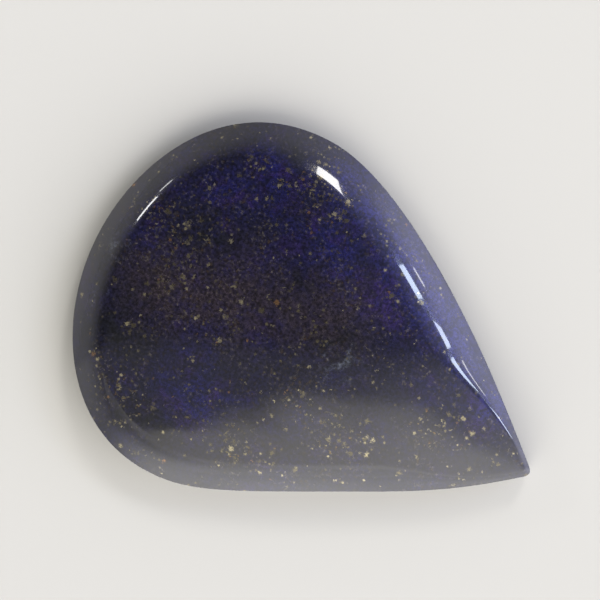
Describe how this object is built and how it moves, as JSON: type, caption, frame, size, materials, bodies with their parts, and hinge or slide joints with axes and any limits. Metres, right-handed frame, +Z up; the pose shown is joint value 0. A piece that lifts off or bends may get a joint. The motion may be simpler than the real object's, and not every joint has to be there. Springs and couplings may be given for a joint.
{
  "type": "polished lapis lazuli cabochon",
  "caption": "Teardrop-shaped polished lapis lazuli stone with a low domed top that bends over to a crisp edge, and a flat back.",
  "frame": {"origin": "on the flat back, under the middle of the stone's length and width", "axes": "+X from the round end to the point of the teardrop, +Z up out of the domed top, so +Y is the flank on the left when looking along +X from above"},
  "size_m": [0.0456, 0.035, 0.006],
  "materials": {
    "lapis_lazuli": "polished deep blue stone with near-black and purplish-brown clouds, brassy pyrite flecks and a few grey calcite smudges"
  },
  "bodies": {
    "root": {"stone": "lapis_lazuli"}
  },
  "joints": []
}
